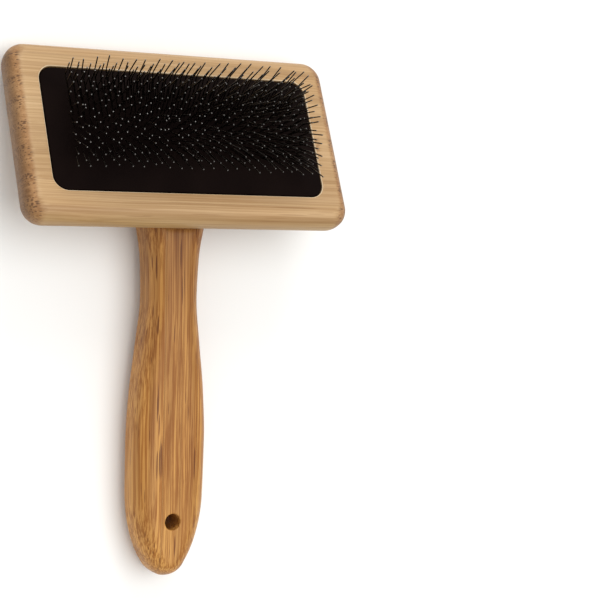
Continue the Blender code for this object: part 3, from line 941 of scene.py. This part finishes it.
def surface_normal(x, y):
    """Direction straight out of the rubber, from the crown's slopes over a small step."""
    step = 0.05
    slope_x = (crown(x + step, y) - crown(x - step, y)) / (2 * step)
    slope_y = (crown(x, y + step) - crown(x, y - step)) / (2 * step)
    return Vector((-slope_x, -slope_y, 1)).normalized()


def add_collar(bm, root):
    """The rubber's small lip round one wire, as its own closed ring-shaped swelling."""
    normal = surface_normal(root.x, root.y)
    side = normal.orthogonal().normalized()
    other = normal.cross(side)
    centre = Vector((root.x, root.y, crown(root.x, root.y)))
    profile = ((COLLAR_RADIUS, -0.12), (COLLAR_RADIUS * 0.98, 0.0),
               (COLLAR_RADIUS * 0.72, COLLAR_HEIGHT * 0.85), (COLLAR_RADIUS * 0.46, COLLAR_HEIGHT))
    rings = []
    for radius, height in profile:
        ring = []
        for step in range(COLLAR_SIDES):
            angle = 2 * math.pi * step / COLLAR_SIDES
            outward = side * math.cos(angle) + other * math.sin(angle)
            ring.append(centre + normal * height + radius * outward)
        rings.append(ring)
    skin(bm, rings)


# ---- pins ----------------------------------------------------------------------------


def pin_roots():
    """Rows of root points: rows run away from the handle and are staggered by half a step."""
    step_x = PIN_FIELD_WIDTH / (PIN_ROWS - 1)
    step_y = PIN_FIELD_DEPTH / (PINS_PER_ROW - 0.5)
    rows = []
    for row in range(PIN_ROWS):
        x = -PIN_FIELD_WIDTH / 2 + step_x * row
        first = PIN_FIELD_CENTRE_Y - PIN_FIELD_DEPTH / 2 + 0.5 * step_y * (row % 2)
        rows.append([Vector((x, first + step_y * index, 0)) for index in range(PINS_PER_ROW)])
    return rows


def pin_centreline(root, dice):
    """Points and directions along one bent wire, with a small unevenness of its own."""
    share_x = root.x / (PIN_FIELD_WIDTH / 2)
    share_y = (root.y - PIN_FIELD_CENTRE_Y) / (PIN_FIELD_DEPTH / 2)
    lean_x = PIN_FAN_X * share_x + PIN_LEAN_X + dice.gauss(0, STRAY_LEAN_X)
    lean_y = PIN_FAN_Y * share_y + PIN_LEAN_Y + dice.gauss(0, STRAY_LEAN_Y)
    bend = math.radians(PIN_KNEE_BEND + dice.gauss(0, STRAY_BEND))
    heading = math.radians(PIN_KNEE_HEADING + dice.gauss(0, STRAY_HEADING))
    knee_axis = Vector((math.cos(heading), math.sin(heading), 0))
    lower_length = PIN_LOWER_LENGTH + dice.gauss(0, STRAY_LOWER_LENGTH)
    stray = dice.gauss(-UPPER_LENGTH_SHORTFALL, STRAY_UPPER_LENGTH)
    upper_length = PIN_UPPER_LENGTH + min(stray, UPPER_LENGTH_MOST)
    lower = Vector((math.tan(math.radians(lean_x)), math.tan(math.radians(lean_y)), 1)).normalized()
    start = Vector((root.x, root.y, crown(root.x, root.y)))

    # (length, share of the knee's bend) of each stretch up to the end of the knee
    pieces = [(lower_length - KNEE_LENGTH / 2, 0.0)]
    pieces += [(KNEE_LENGTH / KNEE_STEPS, 1.0 / KNEE_STEPS)] * KNEE_STEPS
    point = start - lower * PIN_ROOT_DEPTH
    points = [(point.copy(), lower.copy())]
    point = start.copy()
    direction = lower.copy()
    for length, turn in pieces:
        direction.rotate(Matrix.Rotation(bend * turn, 3, knee_axis))
        point = point + direction * length
        points.append((point.copy(), direction.copy()))
    rest = upper_length - KNEE_LENGTH / 2
    for from_tip in (TIP_BRIGHT_LENGTH, TIP_ROUND, 0.0):
        points.append((point + direction * (rest - from_tip), direction.copy()))
    return points


def add_pin(bm, root, dice):
    """One wire with a slightly rounded, bright ground tip."""
    points = pin_centreline(root, dice)
    side = points[0][1].orthogonal().normalized()
    layers = []
    last = len(points) - 1
    for index, (point, direction) in enumerate(points):
        side = (side - direction * side.dot(direction)).normalized()
        other = direction.cross(side)
        radius = PIN_RADIUS * (TIP_ROUND_SHARE if index == last else 1.0)
        ring = []
        for step in range(PIN_SIDES):
            angle = 2 * math.pi * step / PIN_SIDES
            outward = side * math.cos(angle) + other * math.sin(angle)
            ring.append(bm.verts.new(point + radius * outward))
        layers.append(ring)
    for level, (lower, upper) in enumerate(zip(layers, layers[1:])):
        for step in range(PIN_SIDES):
            after = (step + 1) % PIN_SIDES
            face = bm.faces.new((lower[step], lower[after], upper[after], upper[step]))
            face.material_index = BRIGHT_TIP if level >= last - 2 else 0
    bm.faces.new(reversed(layers[0]))
    bm.faces.new(layers[-1]).material_index = BRIGHT_TIP


# ---- build ---------------------------------------------------------------------------

head_wood = bamboo(
    "bamboo_head", HEAD, along="x", across="y", edges=HEAD_STRIP_EDGES,
    colours=(srgb(203, 171, 130), srgb(182, 149, 107), srgb(134, 94, 54)),
    seed=4, crowd=0.9, slant=0.012, fibre_length=26.0, dark=0.36, streak=0.32, fineness=1.7,
    node_marks=True, end_grain=True, painted_side_shade=HEAD_SIDE_PAINTED_SHADE)
# a much lighter copy of the head's bamboo for the rim's edge break: painted highlight
head_rim_highlight_wood = bamboo(
    "bamboo_painted_rim_highlight", HEAD, along="x", across="y", edges=HEAD_STRIP_EDGES,
    colours=(srgb(246, 226, 196), srgb(236, 212, 176), srgb(206, 172, 128)),
    seed=4, crowd=0.9, slant=0.012, fibre_length=26.0, dark=0.2, streak=0.2, fineness=2.4)
handle_wood = bamboo(
    "bamboo_handle", HANDLE, along="y", across="x", edges=HANDLE_STRIP_EDGES,
    colours=(srgb(216, 164, 92), srgb(162, 106, 44), srgb(104, 54, 18)),
    seed=9, crowd=1.0, slant=0.008, fibre_length=20.0, dark=0.9, streak=0.4, fineness=1.9,
    neck_shade=(-HANDLE_LENGTH, -HANDLE_SHADE_END, HANDLE_SHADE_TINTS))
pin_steel = wire_material("wire_dark", (0.042, 0.032, 0.026, 1), (0.098, 0.082, 0.071, 1), 0.26, 0.4)
tip_steel = wire_material("wire_ground_tip", (0.12, 0.115, 0.11, 1), (0.21, 0.20, 0.19, 1), 0.3, 0.45)

head = make_head(head_wood, head_rim_highlight_wood)
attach(head, "brush_body")
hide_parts("head_block")

handle = make_handle(handle_wood)
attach(handle, "brush_body")
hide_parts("handle")

zinc = screw_material()
for screw_name in SCREWS:
    screw = make_screw(screw_name, zinc)
    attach(screw, "brush_body")
    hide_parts(screw_name)

cloth_top = -RUBBER_THICKNESS - GAP
foam_top = cloth_top - CLOTH_THICKNESS - GAP
foam_floor = -RECESS_CUT + GAP

foam = add_object("foam_layer", domed_mesh(foam_top, foam_floor, FOAM_EDGE_ROUND, flat_bottom=foam_floor),
                  FRONT, [foam_material()], PAD_SHARP_ANGLE)
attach(foam, "brush_body")
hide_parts("foam_cushion")
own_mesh(foam)

cloth = add_object("cloth_layer", domed_mesh(cloth_top, cloth_top - CLOTH_THICKNESS, CLOTH_EDGE_ROUND),
                   FRONT, [cloth_material()], PAD_SHARP_ANGLE)
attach(cloth, "pin_pad")
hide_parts("pin_cloth")

rows = pin_roots()
rubber_mesh = domed_mesh(0.0, -RUBBER_THICKNESS, RUBBER_EDGE_ROUND)
for roots in rows:
    for root in roots:
        add_collar(rubber_mesh, root)
rubber = add_object("rubber_pad", rubber_mesh, FRONT, [rubber_material()], PAD_SHARP_ANGLE)
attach(rubber, "pin_pad")
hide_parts("rubber_face")

dice = random.Random(PIN_SEED)
for number, roots in enumerate(rows, start=1):
    wires = bmesh.new()
    for root in roots:
        add_pin(wires, root, dice)
    pins = add_object(f"wire_pins_{number:02d}", wires, FRONT, [pin_steel, tip_steel], PIN_SHARP_ANGLE)
    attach(pins, "pin_pad")
    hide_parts(f"pin_row_{number:02d}")


# ---- camera, floor and light -----------------------------------------------------------

# The camera is described in the head's own frame.
CAMERA_AT = Vector((-224.0, -210.5, 431.8)) * MM
CAMERA_RIGHT = Vector((0.873, -0.175, 0.455))
CAMERA_FORWARD = Vector((0.488, 0.321, -0.812))
LENS = 104.1
SHIFT_X = 0.012
SHIFT_Y = -0.0438
SENSOR_WIDTH = 36.0

# Directions toward the lights, along the camera's right, up and backward axes
KEY_DIRECTION = (0.62, 0.05, 0.78)
KEY_STRENGTH = 1.4
KEY_ANGLE = 55
KICKER_DIRECTION = (0.3, 0.85, 0.4)
KICKER_STRENGTH = 0.7
KICKER_ANGLE = 25
SUN_COLOUR = (1.0, 0.995, 0.98)
WORLD_COLOUR = (1.0, 1.0, 0.99, 1.0)
WORLD_STRENGTH = 0.68
FLOOR_HALF_SIZE = 2000.0
FLOOR_DROP = 0.02


def make_camera():
    turn = HEAD.to_3x3()
    forward = (turn @ CAMERA_FORWARD).normalized()
    right = turn @ CAMERA_RIGHT
    right = (right - forward * right.dot(forward)).normalized()
    up = right.cross(forward)
    place = Matrix((right, up, -forward)).transposed().to_4x4()
    place.translation = HEAD @ CAMERA_AT
    data = bpy.data.cameras.new("camera")
    data.sensor_width = SENSOR_WIDTH
    data.lens = LENS
    data.shift_x = SHIFT_X
    data.shift_y = SHIFT_Y
    data.clip_start = 0.01
    data.clip_end = 50.0
    camera = bpy.data.objects.new("camera", data)
    camera.matrix_world = place
    bpy.context.scene.collection.objects.link(camera)
    bpy.context.scene.camera = camera
    return right, up, forward


def make_sun(name, axes, direction, strength, angle):
    """A wide, soft sun whose direction is given in the camera's own axes."""
    right, up, forward = axes
    toward_light = right * direction[0] + up * direction[1] - forward * direction[2]
    data = bpy.data.lights.new(name, "SUN")
    data.angle = math.radians(angle)
    data.energy = strength
    data.color = SUN_COLOUR
    light = bpy.data.objects.new(name, data)
    light.rotation_euler = toward_light.to_track_quat("Z", "Y").to_euler()
    bpy.context.scene.collection.objects.link(light)


def make_floor():
    bm = bmesh.new()
    bmesh.ops.create_grid(bm, x_segments=8, y_segments=8, size=FLOOR_HALF_SIZE)
    bmesh.ops.translate(bm, vec=(0, 0, -FLOOR_DROP), verts=bm.verts)
    floor = add_object("floor", bm, Matrix.Identity(4), [floor_material()])


def make_world():
    world = bpy.data.worlds.new("studio")
    world.use_nodes = True
    background = world.node_tree.nodes["Background"]
    background.inputs["Color"].default_value = WORLD_COLOUR
    background.inputs["Strength"].default_value = WORLD_STRENGTH
    bpy.context.scene.world = world


camera_axes = make_camera()
make_floor()
make_world()
make_sun("key", camera_axes, KEY_DIRECTION, KEY_STRENGTH, KEY_ANGLE)
make_sun("kicker", camera_axes, KICKER_DIRECTION, KICKER_STRENGTH, KICKER_ANGLE)
bpy.context.scene.view_settings.view_transform = "Standard"
bpy.context.scene.view_settings.look = "None"
